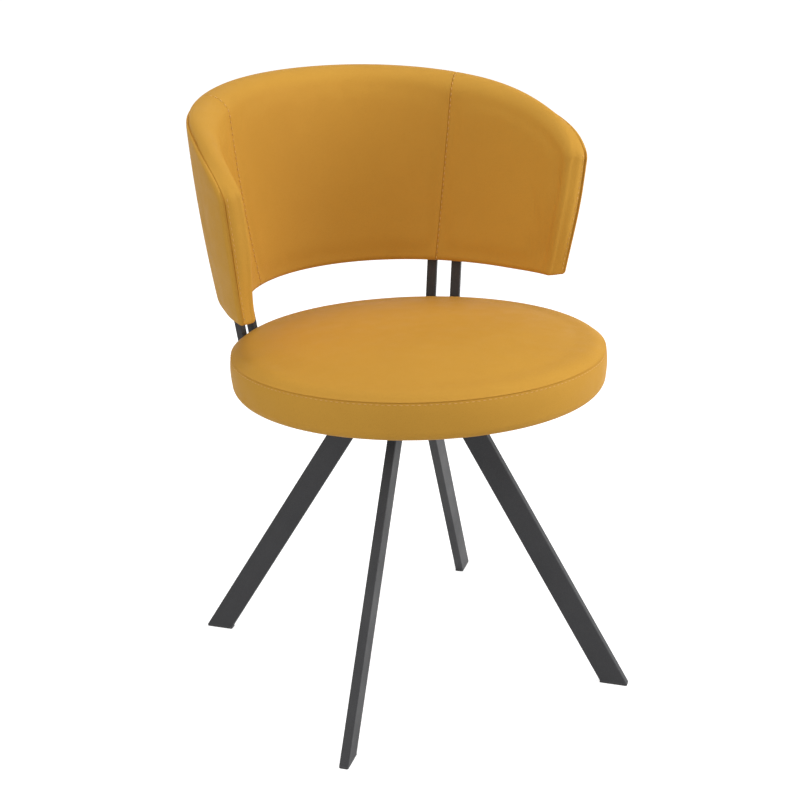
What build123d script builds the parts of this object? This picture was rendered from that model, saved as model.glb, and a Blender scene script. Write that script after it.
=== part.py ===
from build123d import *
import math
import os

# Swivel dining chair: a round upholstered seat and a wrap-around backrest on four slim uprights,
# turning on a ball swivel over a base of four raked rectangular tubes.
# Millimetres. The origin is on the floor, on the swivel axis. +Z is up and the chair faces -Y.

# ---- Base ---------------------------------------------------------------------------------
leg_depth = 32.0            # wide side of the leg tube, in the plane of its rake
leg_thickness = 12.0        # narrow side of the leg tube
leg_wall = 1.5
leg_corner = 2.0            # outside corners of the tube
leg_angle = 45.0            # direction of the legs, from +X
foot_reach = 303.0          # from the axis to the outer tip of a foot
leg_rake = 30.6             # degrees from vertical
glide_height = 2.5
glide_plug_length = 24.0
glide_plug_clearance = 0.1
base_plate_size = 150.0
base_plate_thickness = 6.0
base_plate_corner = 12.0
base_plate_z = 356.0        # underside of the plate, where the legs end

# ---- Ball swivel --------------------------------------------------------------------------
swivel_plate_size = 140.0
swivel_plate_thickness = 3.0
swivel_plate_corner = 8.0
race_radius = 48.0
ball_diameter = 7.0
ball_count = 20
race_depth = 1.0
race_clearance = 0.1
cage_width = 13.0
cage_thickness = 1.6
cage_pocket_clearance = 0.15
pivot_diameter = 10.0
pivot_head_across = 17.0
pivot_head_height = 6.4
pivot_running_clearance = 0.05
bush_wall = 2.0
bush_flange_diameter = 20.0
bush_flange_thickness = 1.0
washer_diameter = 22.0
washer_thickness = 1.6
nut_height = 6.0
pivot_tip = 2.0             # thread that stands past the nut
plate_bolt_diameter = 8.0
plate_bolt_head = 13.0
plate_bolt_head_height = 5.3
plate_bolt_circle = 124.0
bolt_hole_clearance = 0.2

# ---- Seat ---------------------------------------------------------------------------------
seat_radius = 240.0         # at the seam
seat_forward = 15.8         # seat centre in front of the swivel axis
seat_seam_z = 453.2         # height of the seam at the seat's centre
seat_tilt = 3.35            # front of the seat raised, degrees
seat_crown = 18.0           # top of the cushion over the seam
seat_depth = 48.0           # underside below the seam
seat_side_bulge = 1.0       # the side band swells past the seam
seat_edge_round = 14.5      # lower edge
leather = 1.5               # cover with its backing
seat_board_thickness = 12.0
seat_board_inset = 18.0
dust_cover_thickness = 0.8
hem_width = 22.0            # band turned under the board
contact_gap = 0.3

# ---- Seat frame ---------------------------------------------------------------------------
bar_width = 13.4
bar_depth = 9.0
bar_corner = 1.0            # rounded corners of the bars
bar_bend_radius = 20.0
upright_angle = 39.5        # where each pair stands, from straight back
upright_facing = 42.5       # the way a pair faces and leans, from straight back
upright_spacing = 34.8      # centre to centre in a pair
upright_gap = 0.7           # between the seat's side and an upright
upright_level = 400.0       # height at which the uprights' radius is measured
upright_lean = 10.05        # outwards, degrees
upright_top_z = 625.0
bar_inner_end = 58.0        # from the axis, along the bar
front_arm_angle = 38.0      # from straight ahead
front_arm_length = 178.0
carrier_size = 170.0
carrier_thickness = 4.0
carrier_corner = 20.0
bracket_size = 136.0
bracket_thickness = 3.0
bracket_foot = 42.0         # width of the foot of each tilt bracket
weld_gap = 0.1              # between the brackets and the carrier plate
seat_screw_radius = 150.0
seat_screw_diameter = 6.0
seat_screw_head = 12.0
seat_screw_head_height = 3.3
tee_nut_diameter = 8.0
tee_nut_flange = 18.0
tee_nut_flange_thickness = 1.5
tee_nut_recess = 1.0        # above the board's underside

# ---- Backrest -----------------------------------------------------------------------------
back_bottom = 500.0         # lower edge
back_top = 766.0            # upper edge, at the middle of the back
back_corner = 655.0         # where the front edge of a wing meets its round top corner
back_flare = 34.0           # how much wider the inside is at the upper edge than at the lower
back_swell = 4.5            # extra half width halfway up
back_foam = 17.9            # in front of the board, behind the sitter
back_oval = 1.112           # plan depth over plan width
back_centre_y = 1.5
wing_thickness = 33.0       # at the front ends of the wings
wing_blend = (47.5, 75.0)   # degrees over which the pad thins towards the wings
wing_end_angle = 92.2
corner_angle = 93.0         # where the falling top edge would become vertical
corner_power = 2.2
wing_bottom_rise = 11.0
wing_round = 10.0
pad_corner = 11.0           # soft corners of the pad's section
pad_corner_share = 0.6      # most of a pad's depth that a soft corner may take
seam_corner = 1.0           # corners of the pads where they meet the outer panel
pad_crown = 3.0             # crown between the lower and upper edges
seam_angle = 37.8           # of the seams between the pads at the lower edge, from straight back
seam_lean = 3.6             # degrees by which the seams lean outwards
back_board_thickness = 8.0
back_board_inset = 16.0
back_board_corner = 2.0
wing_foam = 13.0            # in front of the board, in the wings
outer_padding = 2.0         # behind the rearmost screw heads
back_screw_diameter = 5.0
back_screw_head = 10.0
back_screw_head_height = 2.8
back_screw_length = 6.5
back_screw_heights = (540.0, 600.0)
channel_clearance = 0.4

nodes = {}


def add(name, shape):
    """Keeps one finished sub-part under its name."""
    nodes[name] = shape


def solids_of(*shapes):
    """Separate solids of one node, kept apart."""
    return Compound([solid for shape in shapes for solid in shape.solids()])


def round_bar(diameter, low, high):
    """An upright cylinder between two heights."""
    return Pos(0, 0, (low + high) / 2) * Cylinder(diameter / 2, high - low)


def hexagon(across, low, high):
    """An upright hexagonal prism between two heights."""
    outline = RegularPolygon(across / 2, 6, major_radius=False)
    return Pos(0, 0, low) * extrude(outline, high - low)


def square_plate(size, corner, low, high):
    """A flat plate with rounded corners between two heights."""
    return Pos(0, 0, low) * extrude(RectangleRounded(size, size, corner), high - low)


def at_angles(shape, radius, angles):
    """Copies of a shape round the axis, at a radius and at angles from +X."""
    return [Rot(0, 0, angle) * Pos(radius, 0, 0) * shape for angle in angles]


# ---- Heights that follow from the sizes above -----------------------------------------------
base_plate_top = base_plate_z + base_plate_thickness
lower_plate_top = base_plate_top + swivel_plate_thickness
race_centre_z = lower_plate_top - race_depth + race_clearance + ball_diameter / 2
upper_plate_low = race_centre_z + ball_diameter / 2 + race_clearance - race_depth
upper_plate_top = upper_plate_low + swivel_plate_thickness
bracket_top = upper_plate_top + bracket_thickness
seat_place = Pos(0, -seat_forward, seat_seam_z) * Rot(-seat_tilt, 0, 0)
run_top = -seat_depth - 2 * contact_gap
run_centre = run_top - bar_depth / 2
carrier_top = run_top - bar_depth - contact_gap
carrier_low = carrier_top - carrier_thickness
tilt = math.radians(seat_tilt)


def to_seat(point):
    """A point of the chair in the tilted coordinates of the seat."""
    x, y, z = point
    y, z = y + seat_forward, z - seat_seam_z
    up = y * math.sin(tilt) + z * math.cos(tilt)
    return Vector(x, y * math.cos(tilt) - z * math.sin(tilt), up)


def to_chair(point):
    """A point of the seat's tilted coordinates in the chair."""
    x, y, z = point
    return Vector(
        x,
        y * math.cos(tilt) + z * math.sin(tilt) - seat_forward,
        -y * math.sin(tilt) + z * math.cos(tilt) + seat_seam_z,
    )


# ---- Legs and glides ------------------------------------------------------------------------
rake = math.radians(leg_rake)
foot_width = leg_depth / math.cos(rake)
foot_centre = foot_reach - foot_width / 2


def leg_centre(z):
    """Distance of the leg's centre line from the axis at a height."""
    return foot_centre - z * math.tan(rake)


def leg_bar(depth, thickness, corner, low, high):
    """A raked bar of rounded rectangular section, cut level at both ends, in the XZ plane."""
    middle = (low + high) / 2
    along = Vector(-math.sin(rake), 0, math.cos(rake))
    across = Vector(math.cos(rake), 0, math.sin(rake))
    section = Plane(origin=(leg_centre(middle), 0, middle), x_dir=across, z_dir=along)
    bar = section * extrude(RectangleRounded(depth, thickness, corner), base_plate_z, both=True)
    return bar & Pos(0, 0, middle) * Box(4 * foot_reach, 2 * leg_depth, high - low)


def make_leg():
    """A rectangular steel tube, open at both ends."""
    tube = leg_bar(leg_depth, leg_thickness, leg_corner, glide_height, base_plate_z)
    bore = (leg_depth - 2 * leg_wall, leg_thickness - 2 * leg_wall, leg_corner - leg_wall)
    return tube - leg_bar(*bore, glide_height - leg_wall, base_plate_z + leg_wall)


def make_glide():
    """A plastic foot: a sole under the tube's cut end and a plug inside the tube."""
    outline = RectangleRounded(foot_width, leg_thickness, leg_corner)
    sole = Pos(leg_centre(glide_height), 0) * extrude(outline, glide_height)
    plug_depth = leg_depth - 2 * leg_wall - 2 * glide_plug_clearance
    plug_thickness = leg_thickness - 2 * leg_wall - 2 * glide_plug_clearance
    plug_end = glide_height + glide_plug_length
    return sole + leg_bar(plug_depth, plug_thickness, leg_corner - leg_wall, glide_height, plug_end)


corners = {
    "front_right": -leg_angle,
    "rear_right": leg_angle,
    "rear_left": 180 - leg_angle,
    "front_left": 180 + leg_angle,
}
leg = make_leg()
glide = make_glide()
for corner, angle in corners.items():
    add("leg_" + corner, Rot(0, 0, angle) * leg)
    add("glide_" + corner, Rot(0, 0, angle) * glide)

# ---- Base plate, swivel and its bolts ---------------------------------------------------------
pivot_hole = pivot_diameter + 2 * bolt_hole_clearance
lower_bolt_angles = (0, 90, 180, 270)
upper_bolt_angles = (45, 135, 225, 315)
bolt_hole = plate_bolt_diameter + 2 * bolt_hole_clearance
bolt_radius = plate_bolt_circle / 2


def make_base_plate():
    """The steel plate that the legs are welded under."""
    plate = square_plate(base_plate_size, base_plate_corner, base_plate_z, base_plate_top)
    plate -= round_bar(pivot_hole, base_plate_z, base_plate_top)
    holes = at_angles(round_bar(bolt_hole, base_plate_z, base_plate_top), bolt_radius, lower_bolt_angles)
    return plate - holes


def race_groove():
    """The ring of space that the balls run in."""
    return Pos(0, 0, race_centre_z) * Torus(race_radius, ball_diameter / 2 + race_clearance)


def make_swivel_plate(low, centre_hole, bolt_angles):
    """One of the two square plates that face each other over the balls."""
    high = low + swivel_plate_thickness
    plate = square_plate(swivel_plate_size, swivel_plate_corner, low, high)
    plate -= round_bar(centre_hole, low, high)
    plate -= at_angles(round_bar(plate_bolt_diameter, low, high), bolt_radius, bolt_angles)
    return plate - race_groove()


def make_ball_cage():
    """A flat plastic ring with a pocket for each ball."""
    low = race_centre_z - cage_thickness / 2
    high = race_centre_z + cage_thickness / 2
    ring = round_bar(2 * race_radius + cage_width, low, high)
    ring -= round_bar(2 * race_radius - cage_width, low, high)
    pocket = round_bar(ball_diameter + 2 * cage_pocket_clearance, low, high)
    return ring - at_angles(pocket, race_radius, ball_angles)


ball_angles = [360 / ball_count * i for i in range(ball_count)]
ball = Pos(0, 0, race_centre_z) * Sphere(ball_diameter / 2)
bush_bore = pivot_diameter + 2 * pivot_running_clearance
bush_outside = bush_bore + 2 * bush_wall
bush_top = upper_plate_top + bush_flange_thickness
washer_low = bush_top + race_clearance
nut_low = washer_low + washer_thickness
nut_top = nut_low + nut_height

add("base_plate", make_base_plate())
add("swivel_lower_plate", make_swivel_plate(base_plate_top, pivot_hole, lower_bolt_angles))
add("swivel_upper_plate", make_swivel_plate(upper_plate_low, bush_outside, upper_bolt_angles))
add("ball_cage", make_ball_cage())
add("race_balls", solids_of(*at_angles(ball, race_radius, ball_angles)))


def make_pivot_bolt():
    """The hexagon bolt that holds the two halves of the swivel together."""
    head = hexagon(pivot_head_across, base_plate_z - pivot_head_height, base_plate_z)
    return head + round_bar(pivot_diameter, base_plate_z, nut_top + pivot_tip)


def make_pivot_bush():
    """The plastic sleeve that turns on the pivot bolt."""
    sleeve = round_bar(bush_outside, upper_plate_low, upper_plate_top)
    flange = round_bar(bush_flange_diameter, upper_plate_top, bush_top)
    return sleeve + flange - round_bar(bush_bore, upper_plate_low, bush_top)


def make_plate_bolt(seat_z, tip_z):
    """A hexagon bolt whose head bears on one height and whose thread ends at another."""
    step = math.copysign(plate_bolt_head_height, seat_z - tip_z)
    head = hexagon(plate_bolt_head, min(seat_z, seat_z + step), max(seat_z, seat_z + step))
    return head + round_bar(plate_bolt_diameter, min(seat_z, tip_z), max(seat_z, tip_z))


add("pivot_bolt", make_pivot_bolt())
add("pivot_bush", make_pivot_bush())
pivot_shank = round_bar(pivot_diameter, washer_low, nut_top)
add("pivot_washer", round_bar(washer_diameter, washer_low, nut_low) - pivot_shank)
add("pivot_nut", hexagon(pivot_head_across, nut_low, nut_top) - pivot_shank)
base_bolt = make_plate_bolt(base_plate_z, lower_plate_top)
bracket_bolt = make_plate_bolt(bracket_top, upper_plate_low)
add("base_bolts", solids_of(*at_angles(base_bolt, bolt_radius, lower_bolt_angles)))
add("bracket_bolts", solids_of(*at_angles(bracket_bolt, bolt_radius, upper_bolt_angles)))


# ---- Tilt brackets and carrier plate ------------------------------------------------------------
def make_tilt_bracket():
    """The right one of two steel angles: a foot on the swivel and a tapered wall that tilts the seat."""
    outside = bracket_size / 2
    foot = Pos(outside - bracket_foot / 2, 0, upper_plate_top)
    bracket = foot * extrude(Rectangle(bracket_foot, bracket_size), bracket_thickness)
    wall = Pos(outside - bracket_thickness / 2, 0, upper_plate_top)
    bracket += wall * extrude(Rectangle(bracket_thickness, bracket_size), bracket_size)
    above = Pos(0, 0, carrier_low - weld_gap + bracket_size)
    bracket -= seat_place * above * Box(4 * bracket_size, 4 * bracket_size, 2 * bracket_size)
    holes = at_angles(round_bar(bolt_hole, upper_plate_top, bracket_top), bolt_radius, upper_bolt_angles)
    return bracket - holes


def make_carrier_plate():
    """The plate that carries the uprights and the front arms, parallel to the seat."""
    centre = to_seat((0, 0, seat_seam_z + carrier_top))
    plate = extrude(RectangleRounded(carrier_size, carrier_size, carrier_corner), -carrier_thickness)
    return seat_place * Pos(0, centre.Y, carrier_top) * plate


tilt_bracket = make_tilt_bracket()
add("tilt_bracket_right", tilt_bracket)
add("tilt_bracket_left", mirror(tilt_bracket, about=Plane.YZ))
add("carrier_plate", make_carrier_plate())


# ---- Uprights and front arms ----------------------------------------------------------------------
axis_in_seat = to_seat((0, 0, seat_seam_z + run_centre))


def upright_at(radius, offset, z, forward=0.0):
    """A point on a right upright at a radius. offset is along the pair, forward is towards the sitter."""
    stand, facing = math.radians(upright_angle), math.radians(upright_facing)
    lean = (z - upright_level) * math.tan(math.radians(upright_lean)) - forward
    x = radius * math.sin(stand) + lean * math.sin(facing) + offset * math.cos(facing)
    y = radius * math.cos(stand) + lean * math.cos(facing) - offset * math.sin(facing)
    return Vector(x, y, z)


def upright_places(half_depth, low, high):
    """Offset, forward distance and height of points on the uprights' front faces, or rear if negative."""
    forward = half_depth / math.cos(math.radians(upright_lean))
    edges = (-bar_width / 2, 0, bar_width / 2)
    offsets = [offset + edge for offset in upright_offsets.values() for edge in edges]
    heights = [low + (high - low) * i / height_steps for i in range(height_steps + 1)]
    return [(offset, forward, z) for offset in offsets for z in heights]


def seat_side(z):
    """Radius of the seat's side at a height in its own coordinates, from its underside to the seam."""
    low = -seat_depth + seat_edge_round
    if z < low:
        drop = min(low - z, seat_edge_round)
        return seat_radius - seat_edge_round + math.sqrt(seat_edge_round**2 - drop**2)
    share = min(z, 0) / low
    return seat_radius + 4 * seat_side_bulge * share * (1 - share)


def room_beside_seat():
    """Least distance from the seat's side to an upright that stands at the seat's own radius."""
    places = upright_places(bar_depth / 2, seat_seam_z - seat_depth, seat_seam_z)
    points = [to_seat(upright_at(seat_radius, offset, z, forward)) for offset, forward, z in places]
    return min(math.hypot(p.X, p.Y) - seat_side(p.Z) for p in points)


upright_offsets = {"outer": upright_spacing / 2, "inner": -upright_spacing / 2}
height_steps = 12           # heights at which the room round the uprights is measured
upright_radius = seat_radius + upright_gap - room_beside_seat()


def upright_point(offset, z, forward=0.0):
    """A point on a right upright where it really stands."""
    return upright_at(upright_radius, offset, z, forward)


def upright_path(offset):
    """Corner points of a bent right upright: inner end under the seat, bend, top."""
    top = upright_point(offset, upright_top_z)
    low, high = to_seat(upright_point(offset, upright_level)), to_seat(top)
    bend = low + (high - low) * ((run_centre - low.Z) / (high.Z - low.Z))
    facing = math.radians(upright_facing)
    back = Vector(math.sin(facing), math.cos(facing), 0)
    inner = bend - back * (bend.dot(back) - axis_in_seat.dot(back) - bar_inner_end)
    return to_chair(inner), to_chair(bend), top


def make_bar(points, width, depth, radius):
    """A flat bar bent on edge along a path of one corner."""
    path = FilletPolyline(*points, radius=radius)
    run = (points[1] - points[0]).normalized()
    side = run.cross(points[2] - points[1]).normalized()
    start = Plane(origin=points[0], x_dir=side, z_dir=run)
    return sweep(start * RectangleRounded(width, depth, bar_corner), path=path)


seat_screw_hole = seat_screw_diameter + 2 * bolt_hole_clearance
right_uprights = {}
right_screw_spots = []      # in plan, in the seat's own coordinates
for name, offset in upright_offsets.items():
    points = upright_path(offset)
    right_uprights[name] = make_bar(points, bar_width, bar_depth, bar_bend_radius)
    inner, bend = to_seat(points[0]), to_seat(points[1])
    spot = inner + (bend - inner).normalized() * (seat_screw_radius - bar_inner_end)
    right_screw_spots.append((spot.X, spot.Y))

arm_angle = math.radians(front_arm_angle)
arm_screw_radius = front_arm_length - bar_width
right_screw_spots.append(
    (arm_screw_radius * math.sin(arm_angle), axis_in_seat.Y - arm_screw_radius * math.cos(arm_angle))
)
seat_screw_places = right_screw_spots + [(-x, y) for x, y in right_screw_spots]
seat_hole = Pos(0, 0, run_centre) * Cylinder(seat_screw_hole / 2, 2 * bar_depth)
right_seat_holes = [Pos(x, y, 0) * seat_hole for x, y in right_screw_spots]


def make_front_arm():
    """The short straight bar on the right, from the carrier plate to a front screw of the seat."""
    length = front_arm_length - bar_inner_end
    section = Plane.XZ * RectangleRounded(bar_width, bar_depth, bar_corner)
    bar = Pos(0, -bar_inner_end, run_centre) * extrude(section, length)
    return Pos(0, axis_in_seat.Y, 0) * Rot(0, 0, front_arm_angle) * bar - right_seat_holes


front_arm = seat_place * make_front_arm()
add("front_arm_right", front_arm)
add("front_arm_left", mirror(front_arm, about=Plane.YZ))

# ---- Seat -------------------------------------------------------------------------------------------
board_low = -seat_depth + leather
board_top = board_low + seat_board_thickness
board_radius = seat_radius - seat_board_inset


def spin(*edges):
    """A solid of revolution about the seat's own axis, from a closed outline in radius and height."""
    face = make_face([Plane.XZ * edge for edge in edges])
    return revolve(face, axis=Axis.Z)


def crown_line(inset):
    """The crowned top of the cushion, from the centre to the seam, inset by the cover's thickness."""
    return Bezier(
        (0, seat_crown - inset),
        (seat_radius * 0.625, seat_crown - inset),
        (seat_radius + 1 - inset, seat_crown * 0.9 - inset),
        (seat_radius - inset, 0),
    )


def side_line(inset):
    """The side of the cushion from the seam down to the round lower edge."""
    low = -seat_depth + seat_edge_round
    return Bezier(
        (seat_radius - inset, 0),
        (seat_radius + 2 * seat_side_bulge - inset, low / 2),
        (seat_radius - inset, low),
    )


def edge_line(inset):
    """The round lower edge of the cushion."""
    low = -seat_depth + seat_edge_round
    centre = seat_radius - seat_edge_round
    radius = seat_edge_round - inset
    corner = radius * math.sin(math.radians(45))
    return ThreePointArc((centre + radius, low), (centre + corner, low - corner), (centre, low - radius))


def make_top_cover():
    """The leather top panel, sewn to the side band at the seam."""
    return spin(
        crown_line(0),
        Line((seat_radius, 0), (seat_radius - leather, 0)),
        crown_line(leather),
        Line((0, seat_crown - leather), (0, seat_crown)),
    )


def make_side_band():
    """The leather side band, turned under the board."""
    hem = seat_radius - seat_edge_round - hem_width
    under = seat_radius - seat_edge_round
    return spin(
        Line((seat_radius - leather, 0), (seat_radius, 0)),
        side_line(0),
        edge_line(0),
        Line((under, -seat_depth), (hem, -seat_depth)),
        Line((hem, -seat_depth), (hem, board_low)),
        Line((hem, board_low), (under, board_low)),
        edge_line(leather),
        side_line(leather),
    )


def make_seat_foam():
    """The moulded foam over and round the board."""
    under = seat_radius - seat_edge_round
    foam = spin(
        crown_line(leather),
        side_line(leather),
        edge_line(leather),
        Line((under, board_low), (0, board_low)),
        Line((0, board_low), (0, seat_crown - leather)),
    )
    foam -= round_bar(2 * board_radius, board_low, board_top)
    recess_top = board_top + tee_nut_flange_thickness + contact_gap
    recess = round_bar(tee_nut_flange + 2 * contact_gap, board_top, recess_top)
    return foam - [Pos(x, y, 0) * recess for x, y in seat_screw_places]


def make_seat_board():
    """The plywood disc, drilled for the tee nuts."""
    board = round_bar(2 * board_radius, board_low, board_top)
    hole = round_bar(tee_nut_diameter + bolt_hole_clearance, board_low, board_top)
    return board - [Pos(x, y, 0) * hole for x, y in seat_screw_places]


def make_dust_cover():
    """The thin cloth that closes the underside inside the hem."""
    cloth_radius = seat_radius - seat_edge_round - hem_width - contact_gap
    cloth = round_bar(2 * cloth_radius, board_low - dust_cover_thickness, board_low)
    hole = round_bar(seat_screw_hole, board_low - dust_cover_thickness, board_low)
    return cloth - [Pos(x, y, 0) * hole for x, y in seat_screw_places]


def make_tee_nut():
    """A flanged nut pressed into the board from above."""
    nut = round_bar(tee_nut_diameter, board_low + tee_nut_recess, board_top)
    nut += round_bar(tee_nut_flange, board_top, board_top + tee_nut_flange_thickness)
    bore = seat_screw_diameter + bolt_hole_clearance
    return nut - round_bar(bore, board_low + tee_nut_recess, board_top + tee_nut_flange_thickness)


def make_seat_screw():
    """A pan-head machine screw, up through a bar into its tee nut."""
    head_top = run_top - bar_depth - contact_gap
    head = round_bar(seat_screw_head, head_top - seat_screw_head_height, head_top)
    return head + round_bar(seat_screw_diameter, head_top, board_top)


add("seat_board", seat_place * make_seat_board())
add("seat_foam", seat_place * make_seat_foam())
add("seat_top_cover", seat_place * make_top_cover())
add("seat_side_band", seat_place * make_side_band())
add("seat_dust_cover", seat_place * make_dust_cover())
tee_nut, seat_screw = make_tee_nut(), make_seat_screw()
add("seat_tee_nuts", solids_of(*[seat_place * Pos(x, y, 0) * tee_nut for x, y in seat_screw_places]))
add("seat_screws", solids_of(*[seat_place * Pos(x, y, 0) * seat_screw for x, y in seat_screw_places]))

# ---- Backrest -----------------------------------------------------------------------------------------
back_height = back_top - back_bottom


def spread(angle):
    """How much further out the oval plan lies at an angle from straight back than at its sides."""
    a = math.radians(angle)
    return 1 / math.sqrt(math.sin(a) ** 2 + (math.cos(a) / back_oval) ** 2)


def inner_half_width(z):
    """Half the inside width of the backrest at a height."""
    s = (z - back_bottom) / back_height
    return back_half_width + back_flare * s + 4 * back_swell * s * (1 - s)


def inner_radius(angle, z):
    """The sitter's side of the backrest: distance from the backrest's own centre line."""
    return inner_half_width(z) * spread(angle)


def towards_wing(angle):
    """0 behind the sitter and past the uprights, rising smoothly to 1 in the wings."""
    start, end = wing_blend
    t = min(max((abs(angle) - start) / (end - start), 0), 1)
    return t * t * (3 - 2 * t)


def top_z(angle):
    """Height of the top edge, which falls in a round corner at the front of each wing."""
    share = min(abs(angle) / corner_angle, 1)
    return back_corner + (back_top - back_corner) * math.sqrt(1 - share**corner_power)


def bottom_z(angle):
    """Height of the lower edge, which rises a little towards the wings."""
    return back_bottom + wing_bottom_rise * (angle / wing_end_angle) ** 2


def depths_of_uprights(half_depth):
    """Depths of the uprights' front faces inside the pad, or of their rear faces if half_depth is negative."""
    depths = []
    for offset, forward, z in upright_places(half_depth, back_bottom, upright_top_z):
        place = upright_point(offset, z, forward)
        angle = math.degrees(math.atan2(place.X, place.Y - back_centre_y))
        depths.append(math.hypot(place.X, place.Y - back_centre_y) - inner_radius(angle, z))
    return depths


board_back = back_foam + back_board_thickness
back_half_width = upright_radius - board_back
for _ in range(3):          # widened or narrowed until the board just clears the uprights
    spare = min(depths_of_uprights(bar_depth / 2)) - board_back - contact_gap
    back_half_width += spare / spread(upright_angle)
back_thickness = max(depths_of_uprights(-bar_depth / 2)) + back_screw_head_height + outer_padding


def foam_depth(angle):
    """Foam in front of the board."""
    return back_foam + (wing_foam - back_foam) * towards_wing(angle)


def pad_thickness(angle):
    """Whole thickness of the upholstered backrest."""
    return back_thickness + (wing_thickness - back_thickness) * towards_wing(angle)


def seam_depth(angle):
    """Where the front cover meets the outer panel: level with the middle of the board."""
    return foam_depth(angle) + back_board_thickness / 2


def section(angle, near, far, low, high, round_near, round_far, crown):
    """A soft-cornered section of the backrest in the upright plane at an angle.

    near and far are depths from the sitter's side, low and high are heights, crown swells the near face."""
    def at(depth, z):
        return (inner_radius(angle, z) + depth, z)

    def face(depth, start, end, swell):
        middle = (start + end) / 2
        x0, x1 = at(depth, start)[0], at(depth, end)[0]
        x_middle = at(depth, middle)[0] - swell
        return Bezier((x0, start), (2 * x_middle - (x0 + x1) / 2, middle), (x1, end))

    near_low, near_high = at(near, low), at(near, high)
    far_low, far_high = at(far, low), at(far, high)
    edges = [
        face(near, low + round_near, high - round_near, crown),
        Bezier(at(near, high - round_near), near_high, (near_high[0] + round_near, high)),
        Line((near_high[0] + round_near, high), (far_high[0] - round_far, high)),
        Bezier((far_high[0] - round_far, high), far_high, at(far, high - round_far)),
        face(far, high - round_far, low + round_far, 0),
        Bezier(at(far, low + round_far), far_low, (far_low[0] - round_far, low)),
        Line((far_low[0] - round_far, low), (near_low[0] + round_near, low)),
        Bezier((near_low[0] + round_near, low), near_low, at(near, low + round_near)),
    ]
    a = math.radians(angle)
    outward = Vector(math.sin(a), math.cos(a), 0)
    plane = Plane(origin=(0, back_centre_y, 0), x_dir=outward, z_dir=outward.cross(Vector(0, 0, 1)))
    return plane * Wire(edges)


def end_inset(angle):
    """How far the section shrinks as the round front end of a wing closes."""
    radius_there = back_half_width + wing_thickness / 2
    left = math.radians(wing_end_angle - abs(angle)) * radius_there
    if left >= wing_round:
        return 0.0
    return wing_round - math.sqrt(wing_round**2 - (wing_round - left) ** 2)


def front_pad_section(angle):
    """Section of the cushion on the sitter's side, wrapped over the edges to the seam."""
    inset = end_inset(angle)
    near, far = inset, seam_depth(angle)
    low, high = bottom_z(angle) + inset, top_z(angle) - inset
    corner = min(pad_corner, (far - near) * pad_corner_share)
    return section(angle, near, far, low, high, corner, seam_corner, pad_crown)


def outer_panel_section(angle):
    """Section of the padded outer panel, from the seam to the outside."""
    inset = end_inset(angle)
    near, far = seam_depth(angle) + contact_gap, pad_thickness(angle) - inset
    low, high = bottom_z(angle) + inset, top_z(angle) - inset
    corner = min(pad_corner, (far - near) * pad_corner_share)
    return section(angle, near, far, low, high, seam_corner, corner, 0.0)


def board_section(angle, clearance=0.0):
    """Section of the bent plywood board inside the backrest."""
    near = foam_depth(angle) - clearance
    far = near + back_board_thickness + 2 * clearance
    edge = back_board_inset - clearance
    low, high = bottom_z(angle) + edge, top_z(angle) - edge
    return section(angle, near, far, low, high, back_board_corner, back_board_corner, 0.0)


wing_round_angle = math.degrees(wing_round / (back_half_width + wing_thickness / 2))
wing_start = wing_end_angle - wing_round_angle
side_sections = 12          # evenly spaced sections from the middle of the back to a wing's end
end_shares = (0.3, 0.55, 0.75, 0.9, 1.0)
half_angles = [wing_start * i / side_sections for i in range(side_sections + 1)]
half_angles += [wing_start + wing_round_angle * share for share in end_shares]
pad_angles = [-angle for angle in reversed(half_angles[1:])] + half_angles


def loft_pad(section_at, angles):
    """A smooth solid through sections at a list of angles."""
    return Solid.make_loft([section_at(angle) for angle in angles])


def seam_plane(side):
    """The leaning plane of the right seam (1) or the left seam (-1). It faces the wing on its side."""
    a, lean = math.radians(seam_angle), math.radians(seam_lean)
    across = Vector(side * math.cos(a) * math.cos(lean), -math.sin(a) * math.cos(lean), -math.sin(lean))
    outward = Vector(side * math.sin(a), math.cos(a), 0)
    return Plane(origin=(0, back_centre_y, back_bottom), x_dir=outward, z_dir=across)


board_end = wing_end_angle - math.degrees(back_board_inset / back_half_width)
board_shares = (0.0, 0.14, 0.28, 0.42, 0.56, 0.7, 0.85, 1.0)
half_board = [board_end * share for share in board_shares]
board_angles = [-angle for angle in reversed(half_board[1:])] + half_board
pocket_end = 1 + contact_gap / 2 / back_half_width
pocket_angles = [angle * pocket_end for angle in board_angles]
back_board = loft_pad(board_section, board_angles)
board_pocket = loft_pad(lambda angle: board_section(angle, contact_gap / 2), pocket_angles)
front_pad = loft_pad(front_pad_section, pad_angles) - board_pocket
outer_panel = loft_pad(outer_panel_section, pad_angles) - board_pocket


def back_screw_place(offset, z):
    """The frame of a screw on the back face of a right upright, its axis towards the sitter."""
    facing = math.radians(upright_facing)
    lean = math.radians(upright_lean)
    point = upright_point(offset, z, forward=-bar_depth / 2 / math.cos(lean))
    axis = Vector(-math.sin(facing) * math.cos(lean), -math.cos(facing) * math.cos(lean), math.sin(lean))
    return Plane(origin=point, z_dir=axis).location


screw_reach = bar_depth + back_screw_length
screw_hole_end = 1.0        # how far a screw's hole runs on past both of its ends
back_screw = round_bar(back_screw_diameter, -contact_gap, screw_reach)
back_screw += round_bar(back_screw_head, -contact_gap - back_screw_head_height, -contact_gap)
back_screw_hole = round_bar(
    back_screw_diameter + 2 * bolt_hole_clearance, -screw_hole_end, screw_reach + screw_hole_end
)
back_screw_places = [
    back_screw_place(offset, z) for offset in upright_offsets.values() for z in back_screw_heights
]
right_screws = [place * back_screw for place in back_screw_places]
right_screw_holes = [place * back_screw_hole for place in back_screw_places]


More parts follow.
